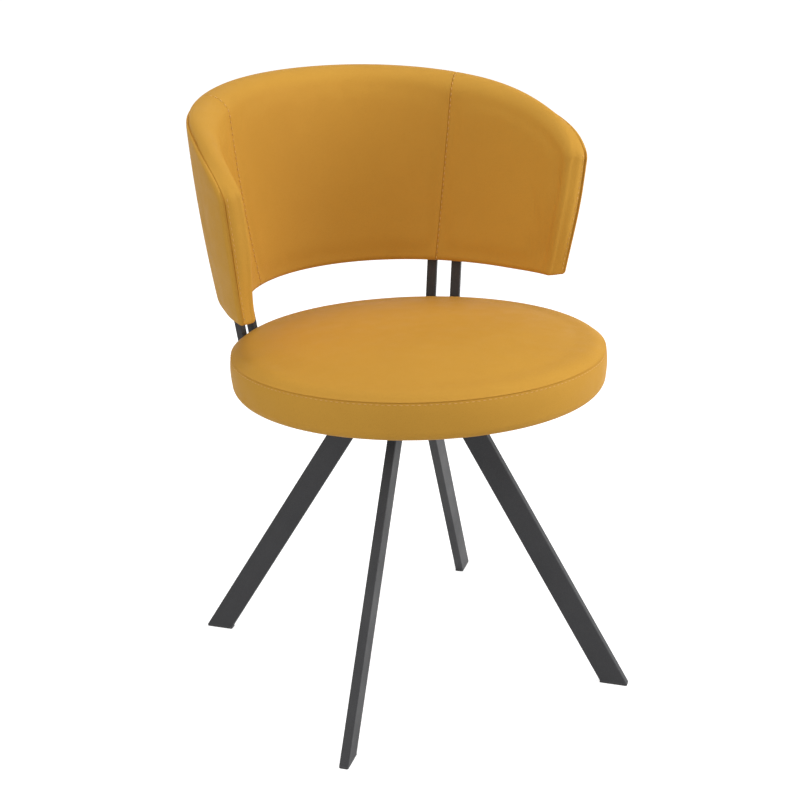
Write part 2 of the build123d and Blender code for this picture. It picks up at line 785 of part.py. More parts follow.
def make_channel(offset):
    """Room in the outer panel for a right upright and its screw heads."""
    low, high = upright_path(offset)[1:]
    facing = math.radians(upright_facing)
    across = Vector(math.cos(facing), -math.sin(facing), 0)
    start = Plane(origin=low, x_dir=across, z_dir=(high - low).normalized())
    depth = bar_depth + 2 * (back_screw_head_height + 2 * contact_gap)
    profile = Rectangle(bar_width + 2 * channel_clearance, depth)
    return start * extrude(profile, (high - low).length + channel_clearance)


right_channels = [make_channel(offset) for offset in upright_offsets.values()]
for name, bar in right_uprights.items():
    bar -= right_screw_holes + [seat_place * hole for hole in right_seat_holes]
    add("upright_right_" + name, bar)
    add("upright_left_" + name, mirror(bar, about=Plane.YZ))
back_board -= right_screw_holes + [mirror(hole, about=Plane.YZ) for hole in right_screw_holes]
right_cuts = right_channels + right_screw_holes
outer_panel -= right_cuts + [mirror(cut, about=Plane.YZ) for cut in right_cuts]
right_wing = split(front_pad, bisect_by=seam_plane(1), keep=Keep.TOP)
centre_pad = split(front_pad, bisect_by=seam_plane(1), keep=Keep.BOTTOM)
centre_pad = split(centre_pad, bisect_by=seam_plane(-1), keep=Keep.BOTTOM)

add("back_board", back_board)
add("back_screws", solids_of(*right_screws, *[mirror(screw, about=Plane.YZ) for screw in right_screws]))
add("back_centre_pad", centre_pad)
add("back_right_wing", right_wing)
add("back_left_wing", mirror(right_wing, about=Plane.YZ))
add("back_outer_panel", outer_panel)

os.makedirs("parts", exist_ok=True)
for name, shape in nodes.items():
    shape.label = name
    export_step(shape, f"parts/{name}.step")
    print(f"{name:22s} solids {len(shape.solids())}  volume {shape.volume:12.1f}")
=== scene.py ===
# %% [markdown]
# # A swivel dining chair with a wrap-around backrest
# This lesson dresses a finished CAD chair. The steel, the plywood and the fasteners keep their
# CAD shapes and only get better finishes. The upholstery is modelled anew, because a leather
# cover lives from its seams, its soft edges and the foam that swells it.
# All measures are written in millimetres and turned into Blender's metres where a mesh is made.

# %% Load the chair
import math
import bmesh
import bpy
import numpy as np
from mathutils import Matrix, Vector
from mathutils.geometry import interpolate_bezier
from mathutils.kdtree import KDTree


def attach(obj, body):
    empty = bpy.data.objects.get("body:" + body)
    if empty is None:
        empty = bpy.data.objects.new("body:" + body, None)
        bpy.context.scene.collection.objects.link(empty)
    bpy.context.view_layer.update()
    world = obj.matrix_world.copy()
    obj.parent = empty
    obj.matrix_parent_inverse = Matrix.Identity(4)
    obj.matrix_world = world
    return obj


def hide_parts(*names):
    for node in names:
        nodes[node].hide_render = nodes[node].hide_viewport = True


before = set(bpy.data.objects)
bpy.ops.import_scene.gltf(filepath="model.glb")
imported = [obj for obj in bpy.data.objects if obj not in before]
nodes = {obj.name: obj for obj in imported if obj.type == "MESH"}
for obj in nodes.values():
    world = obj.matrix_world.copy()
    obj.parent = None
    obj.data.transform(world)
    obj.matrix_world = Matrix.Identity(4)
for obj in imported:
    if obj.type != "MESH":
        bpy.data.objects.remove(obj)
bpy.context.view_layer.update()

scene = bpy.context.scene
mm = 0.001
print("CAD pieces:", len(nodes))

# %% [markdown]
# ## The camera
# The photograph was taken from a little left of straight ahead and from above, with a long
# lens: the four feet and the rims of the seat and the backrest fix its place. A long lens
# keeps the legs nearly parallel, which a short one would splay.

# %% Set the camera
camera_data = bpy.data.cameras.new("camera")
camera_data.lens, camera_data.sensor_width = 75.39, 36.0
camera = bpy.data.objects.new("camera", camera_data)
camera.location = (-0.9968, -1.7949, 1.1447)
looks_down, looks_right = 20.56, 28.61      # degrees
camera.rotation_euler = (math.radians(90 - looks_down), 0, math.radians(-looks_right))
scene.collection.objects.link(camera)
scene.camera = camera
scene.view_settings.view_transform = "Standard"
print("camera height:", camera.location.z)

# %% [markdown]
# ## The studio
# The chair stands in plain soft light: a broad lamp above, a stronger one to the right of the
# camera and a weak fill to the left. The floor and the world look white to the camera and in
# reflections only. Had the white come from brighter lamps, the leather would wash out. The
# floor still adds its own lit surface, so the chair keeps its soft shadow.

# %% Shader helpers
def new_material(name):
    """An empty node material: its tree and its Principled shader, already joined to the output."""
    material = bpy.data.materials.new(name)
    material.use_nodes = True
    tree = material.node_tree
    return material, tree, tree.nodes["Principled BSDF"]


def plug(socket, value):
    """Feeds an input socket: another node's output is linked to it, anything else is its constant."""
    if isinstance(value, bpy.types.NodeSocket):
        socket.id_data.links.new(value, socket)
    else:
        socket.default_value = value


def set_inputs(node, **values):
    """Feeds input sockets by their names, with _ for a space."""
    for name, value in values.items():
        plug(node.inputs[name.replace("_", " ")], value)


def add_node(tree, kind, **values):
    """A new node. Each value sets the property of that name or, where there is none, the input."""
    node = tree.nodes.new(kind)
    for name, value in values.items():
        if hasattr(node, name):
            setattr(node, name, value)
        else:
            set_inputs(node, **{name: value})
    return node


def calculate(tree, operation, *values, kind="ShaderNodeMath", result="Value"):
    """The result of a calculation with values, in the order of the node's inputs."""
    node = add_node(tree, kind, operation=operation)
    for socket, value in zip(node.inputs, values):
        plug(socket, value)
    return node.outputs[result]


def seen_by_camera(tree):
    """1 for rays that the camera, a reflection or a pane sees, else 0."""
    path = add_node(tree, "ShaderNodeLightPath")
    first = calculate(tree, "MAXIMUM", path.outputs["Is Camera Ray"], path.outputs["Is Glossy Ray"])
    return calculate(tree, "MAXIMUM", first, path.outputs["Is Transmission Ray"])


def object_place(tree):
    """The place on the object, which all textures here are laid by."""
    return add_node(tree, "ShaderNodeTexCoord").outputs["Object"]


def noise(tree, place=None, **values):
    """A cloudy noise from 0 to 1, by the place on the object or by another place."""
    if place is None:
        place = object_place(tree)
    return add_node(tree, "ShaderNodeTexNoise", Vector=place, **values).outputs["Fac"]


def blend(tree, share, first, second, **values):
    """A colour between two colours."""
    node = add_node(tree, "ShaderNodeMix", data_type="RGBA", Factor=share, A=first, B=second, **values)
    return node.outputs["Result"]


def bumped(tree, height, strength, distance):
    """The surface direction, tilted by a map of heights."""
    node = add_node(tree, "ShaderNodeBump", Height=height, Strength=strength, Distance=distance)
    return node.outputs["Normal"]


# %% White world
white = (1, 1, 1, 1)
world_light = 0.37          # strength of the world for all rays that the camera doesn't see
world = bpy.data.worlds.new("studio")
world.use_nodes = True
scene.world = world
tree = world.node_tree
level = add_node(tree, "ShaderNodeMapRange", Value=seen_by_camera(tree), To_Min=world_light, To_Max=1.0)
set_inputs(tree.nodes["Background"], Color=white, Strength=level.outputs["Result"])

# %% Pale floor
floor_glow = 0.78           # added for the camera only
floor_mesh = bpy.data.meshes.new("floor")
bm = bmesh.new()
bmesh.ops.create_grid(bm, x_segments=1, y_segments=1, size=30)
bm.to_mesh(floor_mesh)
bm.free()
floor = bpy.data.objects.new("floor", floor_mesh)
scene.collection.objects.link(floor)
floor_paint, tree, shader = new_material("floor_paint")
mottle = noise(tree, Scale=3.0, Detail=4.0)
shade = blend(tree, mottle, (0.64, 0.64, 0.64, 1), (0.67, 0.67, 0.67, 1))
glow = calculate(tree, "MULTIPLY", seen_by_camera(tree), floor_glow)
set_inputs(shader, Base_Color=shade, Roughness=0.9, Specular_IOR_Level=0.1,
           Emission_Color=white, Emission_Strength=glow)
floor_mesh.materials.append(floor_paint)


# %% Lamps
def lamp(name, place, power, size):
    """A square soft light that faces the middle of the chair."""
    light = bpy.data.lights.new(name, "AREA")
    light.energy, light.size = power, size
    holder = bpy.data.objects.new(name, light)
    holder.location = place
    holder.rotation_euler = (Vector((0, 0, 0.5)) - holder.location).to_track_quat("-Z", "Y").to_euler()
    scene.collection.objects.link(holder)


lamp("overhead", (0.0, 0.2, 3.1), 27.0, 2.0)
lamp("right_window", (2.1, -1.4, 1.4), 49.0, 1.8)
lamp("left_fill", (-2.1, -1.1, 1.5), 20.0, 1.8)
print("lamps:", sorted(light.name for light in bpy.data.lights))

# %% [markdown]
# ## Node groups for the surfaces
# Grain, blotches and worn edges return in several finishes. Each is built once as a node
# group that puts out plain numbers, and every material sets its own strengths.


# %% Group helpers
def new_group(name, inputs, outputs):
    """A shader node group with named number sockets: its tree, its input node and its output node."""
    group = bpy.data.node_groups.new(name, "ShaderNodeTree")
    for socket, value in inputs.items():
        made = group.interface.new_socket(socket, in_out="INPUT", socket_type="NodeSocketFloat")
        made.default_value = value
    for socket in outputs:
        group.interface.new_socket(socket, in_out="OUTPUT", socket_type="NodeSocketFloat")
    return group, group.nodes.new("NodeGroupInput"), group.nodes.new("NodeGroupOutput")


def use_group(tree, group, **values):
    """The group as a node in a material, with its inputs set."""
    return add_node(tree, "ShaderNodeGroup", node_tree=group, **values)


# %% Blotches: slow changes of tone
blotches, inside, out = new_group("blotches", {"Scale": 8.0, "Low": 0.0, "High": 1.0}, ["Mask"])
cloud = noise(blotches, Scale=inside.outputs["Scale"], Detail=4.0, Roughness=0.55)
span = add_node(blotches, "ShaderNodeMapRange", Value=cloud, From_Min=0.35, From_Max=0.65,
                To_Min=inside.outputs["Low"], To_Max=inside.outputs["High"])
set_inputs(out, Mask=span.outputs["Result"])

# %% Worn edges: where a small bevel would turn the surface
edge_wear, inside, out = new_group("edge_wear", {"Radius": 0.001, "Amount": 1.0}, ["Mask"])
soft = add_node(edge_wear, "ShaderNodeBevel", samples=6, Radius=inside.outputs["Radius"])
plain = add_node(edge_wear, "ShaderNodeNewGeometry")
likeness = calculate(edge_wear, "DOT_PRODUCT", soft.outputs["Normal"], plain.outputs["Normal"],
                     kind="ShaderNodeVectorMath")
near_edge = add_node(edge_wear, "ShaderNodeMapRange", Value=likeness, From_Min=0.995, From_Max=0.90)
patchy = noise(edge_wear, Scale=120.0, Detail=3.0)
broken = calculate(edge_wear, "MULTIPLY", near_edge.outputs["Result"], patchy)
set_inputs(out, Mask=calculate(edge_wear, "MULTIPLY", broken, inside.outputs["Amount"]))

# %% [markdown]
# ## Leather
# The cover is a smooth, evenly dyed leather with a fine pebble grain. The grain is a map of
# small cells: their borders are the creases between the pebbles. A second, much finer noise
# gives the pores. The creases get a little painted shade, and the dye varies slowly over a hide.

# %% Pebble grain
pebbles, inside, out = new_group("pebbles", {"Scale": 900.0, "Softness": 0.12}, ["Height", "Crease"])
place = object_place(pebbles)
wobble = add_node(pebbles, "ShaderNodeTexNoise", Vector=place, Scale=260.0, Detail=2.0)
bent = calculate(pebbles, "MULTIPLY_ADD", wobble.outputs["Color"], (0.0012, 0.0012, 0.0012), place,
                 kind="ShaderNodeVectorMath", result="Vector")
cells = add_node(pebbles, "ShaderNodeTexVoronoi", feature="DISTANCE_TO_EDGE", Vector=bent,
                 Scale=inside.outputs["Scale"])
dome = add_node(pebbles, "ShaderNodeMapRange", interpolation_type="SMOOTHSTEP",
                Value=cells.outputs["Distance"], From_Max=inside.outputs["Softness"])
pores = noise(pebbles, place, Scale=2600.0, Detail=1.0)
relief = calculate(pebbles, "MULTIPLY_ADD", pores, 0.25, dome.outputs["Result"])
crease = calculate(pebbles, "SUBTRACT", 1.0, dome.outputs["Result"])
set_inputs(out, Height=relief, Crease=crease)


# %% Leather finish: two tones over the hide, painted shade in the creases, a satin surface and a shallow grain
def srgb(red, green, blue):
    """A colour as a picture editor shows it, turned into the light that the shader works with."""
    shares = [value / 255 for value in (red, green, blue)]
    linear = [share / 12.92 if share <= 0.04 else ((share + 0.055) / 1.055) ** 2.4 for share in shares]
    return (*linear, 1.0)


leather, tree, shader = new_material("mustard_leather")
tone = use_group(tree, blotches, Scale=5.0, Low=0.0, High=1.0)
patina = use_group(tree, blotches, Scale=38.0, Low=0.50, High=0.60)
grain = use_group(tree, pebbles, Scale=900.0, Softness=0.12)
hide = blend(tree, tone.outputs["Mask"], srgb(209, 157, 66), srgb(204, 152, 63))
# painted shade: the grain's creases are darkened towards a deeper brown
painted_crease_shade = calculate(tree, "MULTIPLY", grain.outputs["Crease"], 0.35)
set_inputs(shader, Base_Color=blend(tree, painted_crease_shade, hide, srgb(174, 124, 45)),
           Roughness=patina.outputs["Mask"], Specular_IOR_Level=0.04,
           Normal=bumped(tree, grain.outputs["Height"], 0.22, 0.00022))
print("leather nodes:", len(tree.nodes))

# %% Twisted sewing thread: fine bands of light and shade across it
thread, tree, shader = new_material("mustard_thread")
twist = add_node(tree, "ShaderNodeTexWave", Vector=object_place(tree), Scale=900.0, Distortion=1.0)
set_inputs(shader, Base_Color=blend(tree, twist.outputs["Fac"], srgb(204, 152, 76), srgb(238, 192, 112)),
           Roughness=0.6, Normal=bumped(tree, twist.outputs["Fac"], 0.5, 0.0001))
print("thread ready")

# %% [markdown]
# ## Powder coat
# The steel tubes are powder coated in a matte anthracite. The powder melts into tiny beads, so
# the coat has a fine orange-peel texture with speckles of light. Corners that are knocked in
# use show a slightly greyer rim.

# %% Powder coat finish
powder_coat, tree, shader = new_material("powder_coat")
beads = noise(tree, Scale=1500.0, Detail=2.0)
speckle = add_node(tree, "ShaderNodeMapRange", Value=beads, From_Min=0.35, From_Max=0.75)
tone = use_group(tree, blotches, Scale=14.0, Low=0.50, High=0.62)
worn = use_group(tree, edge_wear, Radius=0.0009, Amount=0.9)
coat = blend(tree, speckle.outputs["Result"], srgb(50, 50, 52), srgb(66, 66, 68))
set_inputs(shader, Base_Color=blend(tree, worn.outputs["Mask"], coat, srgb(104, 104, 107)),
           Roughness=tone.outputs["Mask"], Specular_IOR_Level=0.3, Normal=bumped(tree, beads, 0.35, 0.00012))


# %% [markdown]
# ## Metal, wood, plastic and cloth
# Most of these are under the seat or inside it. Each is a noise in two tones, with a bump
# from the same noise.


# %% Bright steel: bolts, balls and washers
def make_steel(name, bright, dull, low, high, stretch):
    """Bare metal with fine scratches drawn out along one axis, and duller patches."""
    material, tree, shader = new_material(name)
    drawn = add_node(tree, "ShaderNodeMapping", Vector=object_place(tree), Scale=stretch)
    scratches = noise(tree, drawn.outputs["Vector"], Scale=400.0, Detail=3.0)
    spots = use_group(tree, blotches, Scale=60.0, Low=low, High=high)
    set_inputs(shader, Base_Color=blend(tree, scratches, dull, bright), Metallic=1.0,
               Roughness=spots.outputs["Mask"], Normal=bumped(tree, scratches, 0.12, 0.0001))
    return material


zinc_steel = make_steel("zinc_steel", srgb(205, 207, 210), srgb(170, 172, 176), 0.25, 0.45, (1.0, 1.0, 6.0))
ball_steel = make_steel("ball_steel", srgb(225, 226, 228), srgb(205, 206, 208), 0.08, 0.16, (1.0, 1.0, 1.0))
print("steels ready")

# %% Plywood
plywood, tree, shader = new_material("plywood")
place = object_place(tree)
drawn = add_node(tree, "ShaderNodeMapping", Vector=place, Scale=(1.0, 12.0, 4.0))
fibre = noise(tree, drawn.outputs["Vector"], Scale=24.0, Detail=5.0, Distortion=0.6)
layers = add_node(tree, "ShaderNodeTexWave", wave_type="BANDS", bands_direction="Z", Vector=place,
                  Scale=90.0, Distortion=0.4)
veneer = blend(tree, fibre, srgb(205, 172, 128), srgb(178, 140, 96))
set_inputs(shader, Base_Color=blend(tree, 0.25, veneer, layers.outputs["Color"], blend_type="MULTIPLY"),
           Roughness=0.7, Normal=bumped(tree, fibre, 0.3, 0.0003))

# %% Moulded plastic: glides, collars and the ball cage
black_plastic, tree, shader = new_material("black_plastic")
spark = noise(tree, Scale=1100.0, Detail=1.0)
tone = use_group(tree, blotches, Scale=30.0, Low=0.42, High=0.58)
set_inputs(shader, Base_Color=blend(tree, spark, srgb(28, 28, 29), srgb(40, 40, 41)),
           Roughness=tone.outputs["Mask"], Normal=bumped(tree, spark, 0.2, 0.0001))

# %% Non-woven dust cloth
dust_cloth, tree, shader = new_material("dust_cloth")
place = object_place(tree)
fibres = noise(tree, place, Scale=420.0, Detail=6.0, Roughness=0.7)
dimples = add_node(tree, "ShaderNodeTexVoronoi", Vector=place, Scale=420.0, Randomness=0.1)
pressed = calculate(tree, "ADD", fibres, dimples.outputs["Distance"])
set_inputs(shader, Base_Color=blend(tree, fibres, srgb(24, 24, 25), srgb(50, 50, 52)),
           Roughness=0.95, Normal=bumped(tree, pressed, 0.5, 0.0004))
print("materials:", len(bpy.data.materials))

# %% [markdown]
# ## Finishes for the CAD pieces
# The tubes, plates, bolts and boards are right as they are. Each keeps its mesh and only its
# material slots change.

# %% Hand out the finishes
finish_of = {
    powder_coat: ["base_plate", "carrier_plate", "tilt_bracket_", "front_arm_", "upright_", "leg_"],
    zinc_steel: ["swivel_", "base_bolts", "bracket_bolts", "pivot_bolt", "pivot_washer", "pivot_nut",
                 "seat_screws", "seat_tee_nuts", "back_screws"],
    ball_steel: ["race_balls"],
    plywood: ["seat_board", "back_board"],
    black_plastic: ["glide_", "ball_cage", "pivot_bush"],
}
for finish, starts in finish_of.items():
    for name, node in nodes.items():
        if name.startswith(tuple(starts)):
            for material_slot in node.material_slots:
                material_slot.material = finish
print("finished:", {finish.name: len(starts) for finish, starts in finish_of.items()})

# %% [markdown]
# ## How a cushion is made here
# A real cushion is foam under a stretched cover. The foam's form is blown up here by Blender's
# cloth simulation: a closed form gets an inner pressure, its seams are held still, and what
# lies between them swells. The leather panels are clean meshes with fine rows along their
# seams. They are laid on the swollen form by a Shrinkwrap modifier, and only near the seams
# they keep their own shape, so that the seams stay crisp.


# %% Mesh helpers
def make_object(name, bm):
    """A new object in the scene from a bmesh, which is used up."""
    mesh = bpy.data.meshes.new(name)
    bm.to_mesh(mesh)
    bm.free()
    piece = bpy.data.objects.new(name, mesh)
    scene.collection.objects.link(piece)
    return piece


def settle(piece):
    """Puts what the modifiers make into the mesh and removes them."""
    evaluated = piece.evaluated_get(bpy.context.evaluated_depsgraph_get())
    mesh = bpy.data.meshes.new_from_object(evaluated)
    piece.modifiers.clear()
    piece.vertex_groups.clear()
    piece.data = mesh


def set_weights(piece, name, weight_of):
    """A vertex group whose weight comes from each vertex's place."""
    group = piece.vertex_groups.new(name=name)
    for vertex in piece.data.vertices:
        group.add([vertex.index], weight_of(vertex), "REPLACE")
    return name


def smooth_step(value, low, high):
    """0 below low, 1 above high and a soft rise between."""
    t = min(max((value - low) / (high - low), 0.0), 1.0)
    return t * t * (3 - 2 * t)


def inflate(form, held, most, pressure=4.0, voxel=6.0, frames=20):
    """Swells a closed form by inner pressure where it isn't held, by no more than most millimetres."""
    remesh = form.modifiers.new("even_faces", "REMESH")
    remesh.mode = "VOXEL"
    remesh.voxel_size = voxel * mm
    settle(form)
    start = [vertex.co.copy() for vertex in form.data.vertices]
    cloth = form.modifiers.new("swell", "CLOTH")
    cloth.settings.vertex_group_mass = set_weights(form, "held", lambda vertex: held(vertex.co / mm))
    cloth.settings.use_pressure = True
    cloth.settings.uniform_pressure_force = pressure
    cloth.settings.effector_weights.gravity = 0.0
    cloth.collision_settings.use_collision = False
    cloth.point_cache.frame_start, cloth.point_cache.frame_end = 1, frames
    for frame_number in range(1, frames + 1):
        scene.frame_set(frame_number)
    settle(form)
    scene.frame_set(1)
    swells = []
    for vertex, place in zip(form.data.vertices, start):
        move = vertex.co - place
        if move.length > most * mm:
            vertex.co = place + move.normalized() * most * mm
        swells.append(move.length / mm)
    print(form.name, "vertices:", len(swells), "largest swell:", round(max(swells), 1))
    rounder = form.modifiers.new("rounder", "SUBSURF")
    rounder.levels = rounder.render_levels = 1
    settle(form)


def lay_on(panel, form, weight_of):
    """Lays a panel on a swollen form, fully where its weight is 1."""
    wrap = panel.modifiers.new("lay", "SHRINKWRAP")
    wrap.target = form
    wrap.wrap_method = "TARGET_PROJECT"
    wrap.vertex_group = set_weights(panel, "laid", weight_of)
    settle(panel)


def give_thickness(panel, width=1.3):
    """Gives a panel an inner face and closed rims. Upholstery leather is 1.3 mm thick."""
    wall = panel.modifiers.new("wall", "SOLIDIFY")
    wall.thickness = width * mm
    wall.offset = -1.0
    settle(panel)


def finish_piece(piece, material, body="seat", stands_for=(), smooth_angle=40.0):
    """The last steps for every new piece: finish, shading, material slot and the body it moves with."""
    piece.data.materials.clear()
    piece.data.materials.append(material)
    piece.data.shade_smooth()
    piece.data.set_sharp_from_angle(angle=math.radians(smooth_angle))
    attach(piece, body)
    if stands_for:
        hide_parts(*stands_for)


# %% [markdown]
# ## The seat cushion
# The seat is a thick round cushion: a domed top cover and a side band that meet in one seam
# round the rim. Everything on it is round, so a line of points is spun about the seat's own
# axis, which leans back a little.

# %% Seat measures
seat_radius = 240.0
seat_crown = 22.0
foam_crown = 17.0           # before it is swollen
seat_depth = 48.0
seat_edge_round = 16.0
turn_level = -33.5          # from here the side turns under
fold = 5.0                  # both covers are folded in this far at the seam
seam_round = 1.2            # radius of that fold
seat_lean = -3.35           # degrees
seat_place = Matrix.Translation((0, -15.8 * mm, 453.2 * mm)) @ Matrix.Rotation(math.radians(seat_lean), 4, "X")


def spun(profile, steps=180):
    """A bmesh turned from a line of (radius, height) points in millimetres."""
    bm = bmesh.new()
    row = [bm.verts.new((radius * mm, 0, height * mm)) for radius, height in profile]
    line = [bm.edges.new(pair) for pair in zip(row, row[1:])]
    bmesh.ops.spin(bm, geom=row + line, cent=(0, 0, 0), axis=(0, 0, 1), angle=2 * math.pi, steps=steps,
                   use_merge=True)
    bmesh.ops.remove_doubles(bm, verts=bm.verts, dist=0.001 * mm)
    bmesh.ops.recalc_face_normals(bm, faces=bm.faces)
    return bm


def curve(start, first, second, end, count):
    """Points along one Bezier curve in the plane of a section."""
    flat = [Vector((*point, 0)) for point in (start, first, second, end)]
    return [(point.x, point.y) for point in interpolate_bezier(*flat, count)]


def arc(centre, radius, first, last, count):
    """Points along a circular arc, in degrees."""
    turns = [math.radians(first + (last - first) * i / (count - 1)) for i in range(count)]
    return [(centre[0] + radius * math.cos(t), centre[1] + radius * math.sin(t)) for t in turns]


def crown_line(crown, count):
    """The domed top, from the middle to the rim: nearly level, then a quick roll."""
    return curve((0, crown), (190, crown * 1.02), (seat_radius - 15, crown * 0.85), (seat_radius, 0), count)


def under_turn(count):
    """The round lower edge, without its first point."""
    return arc((seat_radius - seat_edge_round, turn_level), seat_edge_round, 0, -90, count)[1:]


# %% Foam under the seat cover
tuck = (seat_radius - 3, 0.0)
foam_profile = crown_line(foam_crown, 30)[:-1] + [tuck]
foam_profile += curve(tuck, (seat_radius + 2, -8), (seat_radius + 1, -22), (seat_radius, turn_level), 10)[1:]
foam_profile += under_turn(8) + [(120, -seat_depth), (0, -seat_depth)]
seat_form = make_object("seat_form", spun(foam_profile, 96))


def seat_held(place):
    """The rim seam and everything under the side stay where they are."""
    radius = math.hypot(place.x, place.y)
    at_seam = 1 - smooth_step(math.hypot(radius - seat_radius, place.z), 5, 16)
    return max(at_seam, smooth_step(-place.z, 24, 34))


inflate(seat_form, seat_held, most=9.0)
print("seat crown:", round(max(vertex.co.z for vertex in seat_form.data.vertices) / mm, 1))

# %% Top cover
rim = [point for point in crown_line(seat_crown, 46) if point[1] > seam_round + 1.2]
top_profile = rim + arc((seat_radius - seam_round, seam_round), seam_round, 0, -80, 6)
top_profile += [(seat_radius - fold, 0.1)]
seat_top = make_object("seat_top_leather", spun(top_profile))


def off_the_rim(vertex):
    """How far the top cover may follow the foam: not at its seam, fully 45 mm inside it."""
    place = vertex.co / mm
    return smooth_step(math.hypot(seat_radius - math.hypot(place.x, place.y), place.z), 6, 45)


lay_on(seat_top, seat_form, off_the_rim)
give_thickness(seat_top)

# %% Side band
band_profile = [(seat_radius - fold, -0.1)] + arc((seat_radius - seam_round, -seam_round), seam_round, 80, 0, 6)
band_profile += curve((seat_radius, -seam_round), (seat_radius + 2.4, -11), (seat_radius + 1.4, -24),
                      (seat_radius, turn_level), 14)[1:]
band_profile += under_turn(12)
band_profile += [(215, -49.2), (206, -48.6), (199.5, -48.3)]       # the hem under the board
seat_band = make_object("seat_side_leather", spun(band_profile))
give_thickness(seat_band)

# %% Put the seat covers on the seat
for cover in (seat_top, seat_band):
    cover.data.transform(seat_place)
finish_piece(seat_top, leather, stands_for=["seat_top_cover", "seat_foam"])
finish_piece(seat_band, leather, stands_for=["seat_side_band"])
bpy.data.objects.remove(seat_form)
print("seat top faces:", len(seat_top.data.polygons))

# %% [markdown]
# ## The backrest
# The backrest is a padded shell bent round the sitter. It is an oval in plan, wider at the top,
# and its top edge falls in a round corner at the front of each wing. Its front cover has three
# panels, a centre and two wings, with two leaning seams between them. The cover turns over the
# edge and meets the outer cover in a seam near the outer side. Towards a wing's foot the padding
# gets thinner, and a soft valley sets off the roll at the wing's front end.
#
# A flat grid makes the best start for such a panel: its columns follow the seams and its rows
# follow the edges, with fine rows where the leather turns. The grid is then bent into place.

# %% Backrest measures
back_low, back_middle, back_high = 500.0, 630.0, 766.0
centre_y = 1.5              # the middle of the oval plan
oval = 1.112                # depth of the plan against its width
mean_radius = 250.0
mm_per_degree = 4.2         # along the shell, about
wing_foot, wing_corner = 515.0, 670.0       # heights of the two corners at a wing's front end
seam_start, seam_lean = 37.8, 3.6           # the inner seams' angle at the lower edge, and their lean
edge_turn = 8.0             # width of the turned strip along the lower and front edges
top_roll = 18.0             # the roll along the top is this much wider
border_end = 1.5            # the outer seam lies this far in front of the outer rounding
seam_drop = 9.0             # along the top the outer seam lies this far under the edge, on the outer side
FRONT, OUTER = 0, 1         # the two faces of the shell
wing_ends = {FRONT: (91.4, 3.5), OUTER: (92.0, 1.8)}       # degrees, and how many fewer at the foot
shoulder, back_rise = 655.0, 111.0          # the top edge: its height at a wing's end, and its rise
foot_rise = 11.0            # the lower edge is this much higher at a wing's end
top_corner, foot_corner = 4.0, 6.0          # how round the corners are
wall_behind, wing_thinner = 44.1, 11.1      # the whole shell


def half_inside(z):
    """Half the inside width of the backrest at a height."""
    s = (z - back_low) / (back_high - back_low)
    return 202.85 + 34 * s + 18 * s * (1 - s)


def inside_radius(angle, z):
    """Distance from the middle of the oval plan to the sitter's side of the backrest."""
    a = math.radians(angle)
    return half_inside(z) / math.hypot(math.sin(a), math.cos(a) / oval)


def back_point(angle, z, depth):
    """A point at an angle from straight back, a height, and a depth behind the sitter's side."""
    a, radius = math.radians(angle), inside_radius(angle, z) + depth
    return Vector((radius * math.sin(a), centre_y + radius * math.cos(a), z))


def seam_angle(z, side):
    """The two inner seams lean outwards as they rise."""
    shift = (z - back_low) * math.tan(math.radians(seam_lean))
    return side * (seam_start + math.degrees(math.asin(shift / inside_radius(40, z))))


def wing_end(z, face):
    """The angle of a wing's front end. It recedes towards the bottom, the front face more than the outer."""
    end, recede = wing_ends[face]
    return end - recede * (1 - smooth_step(z, back_low, back_middle))


def corner_cut(distance, radius):
    """How much a rounded corner of the outline takes off near a wing's end."""
    left = min(max(radius - distance, 0.0), radius)
    return radius - math.sqrt(radius**2 - left**2)


def end_distance(angle, z, face):
    """Millimetres along the middle of the shell's wall to the front end of the nearer wing."""
    return math.radians(wing_end(z, face) - abs(angle)) * (half_inside(z) + 16)


def top_edge(angle, face):
    """Height of the top edge, which falls in a round corner at the front of each wing."""
    share = min(abs(angle) / 93.0, 1.0)
    corner = corner_cut(end_distance(angle, wing_corner, face), top_corner)
    edge = shoulder + back_rise * math.sqrt(1 - share**2.2) - corner
    return edge - seam_drop * seam_behind(edge) if face == OUTER else edge


def bottom_edge(angle, face):
    """Height of the lower edge, which rises a little towards the wings."""
    corner = corner_cut(end_distance(angle, wing_foot, face), foot_corner)
    return back_low + foot_rise * (angle / 92.2) ** 2 + corner


def seam_behind(z):
    """0 where the outer seam runs in the border, 1 along the top, where it lies behind the edge."""
    return smooth_step(z, 690, 750)


def thickness(angle):
    """The whole shell: thick behind the sitter, thinner in the wings."""
    return wall_behind - wing_thinner * smooth_step(abs(angle), 47.5, 75)


# %% How the edges turn
def top_share(z):
    """0 along the lower and front edges, 1 along the top."""
    return smooth_step(z, 650, 745)


def turn_depth(angle, z):
    """How deep the front face turns before it meets the border: more than half the wall at the top."""
    return 7.5 + (0.62 * thickness(angle) - 7.5) * top_share(z)


def turn_width(z):
    """How wide the turned strip is on the sitter's side."""
    return edge_turn + top_roll * top_share(z)


def outer_round(z):
    """Radius of the turn from the border to the outer face. Along the top the front cover makes the turn."""
    return 4.5 - 3.0 * seam_behind(z)


def seam_depth(angle, z):
    """Depth of the seam between the front cover's border and the outer cover."""
    return thickness(angle) - outer_round(z) - border_end


def rounded(distance, width, depth):
    """Depth of a quarter ellipse at a distance from the edge: the full depth at the edge, 0 past its width."""
    left = 1 - min(max(distance / width, 0.0), 1.0)
    return depth * (1 - math.sqrt(1 - left**2))


def thinning(angle, z):
    """How much thinner the padding gets on the sitter's side towards a wing's foot."""
    return 6.5 * smooth_step(abs(angle), 66, 88) * (1 - smooth_step(z, 515, 610))


def end_valley(angle, z):
    """Depth of a soft valley that sets off the roll at the front end of a wing."""
    depth, from_end, width = 4.0, 18, 6
    shape = math.exp(-(((end_distance(angle, z, FRONT) - from_end) / width) ** 2))
    return depth * shape * (1 - smooth_step(z, back_middle, 690)) * smooth_step(z, 508, 550)


